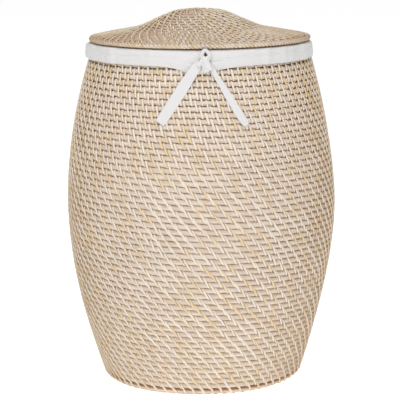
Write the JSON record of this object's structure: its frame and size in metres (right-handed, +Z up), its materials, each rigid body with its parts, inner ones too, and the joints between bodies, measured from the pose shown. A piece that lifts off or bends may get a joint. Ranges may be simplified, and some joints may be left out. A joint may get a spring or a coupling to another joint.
{
  "type": "woven laundry basket",
  "caption": "Tall belly-shaped laundry basket of coiled cane with a lift-off lid and a white cotton bag turned over the rim and tied with a drawstring.",
  "frame": {"origin": "centre of the basket's foot, on the floor", "axes": "+Z up the basket's axis, -Y towards the knot at the front, +X to the right seen from the front"},
  "size_m": [0.4464, 0.4464, 0.615],
  "materials": {
    "cane": "whitewashed round cane with matte cream lashing",
    "peel": "matte cane peel wound at a slant",
    "cotton": "plain woven white cotton",
    "cotton_tape": "folded white cotton tape"
  },
  "bodies": {
    "basket": {"base_start_knot": "cane", "base_coil_1": "cane", "base_coil_2": "cane", "base_coil_3": "cane", "foot_hoop": "cane", "wall_coil_01": "cane", "wall_coil_02": "cane", "wall_coil_03": "cane", "wall_coil_04": "cane", "wall_coil_05": "cane", "wall_coil_06": "cane", "wall_coil_07": "cane", "wall_coil_08": "cane", "wall_coil_09": "cane", "wall_coil_10": "cane", "wall_coil_11": "cane", "wall_coil_12": "cane", "wall_coil_13": "cane", "wall_coil_14": "cane", "wall_coil_15": "cane", "wall_coil_16": "cane", "wall_coil_17": "cane", "wall_coil_18": "cane", "wall_coil_19": "cane", "rim_hoop": "cane", "rim_wrap": "peel"},
    "liner": {"bag_side": "cotton", "bag_bottom": "cotton", "bag_bottom_seam": "cotton", "bag_side_seam": "cotton", "cuff": "cotton", "cuff_seam": "cotton", "hem_casing": "cotton", "drawstring": "cotton_tape", "knot": "cotton_tape", "knot_loop": "cotton_tape", "string_end_left": "cotton_tape", "string_end_right": "cotton_tape"},
    "lid": {"lid_start_knot": "cane", "lid_coil_1": "cane", "lid_coil_2": "cane", "lid_coil_3": "cane", "lid_coil_4": "cane", "lid_coil_5": "cane", "lid_coil_6": "cane", "lid_coil_7": "cane", "lid_border_hoop": "cane", "lid_border_wrap": "peel", "lid_locating_ring": "cane"}
  },
  "joints": [
    {"name": "liner_lift", "type": "slide", "parent": "basket", "child": "liner", "axis": [0, 0, 1], "range_m": [0, 0.58]},
    {"name": "lid_lift", "type": "slide", "parent": "liner", "child": "lid", "axis": [0, 0, 1], "range_m": [0, 0.3]}
  ]
}
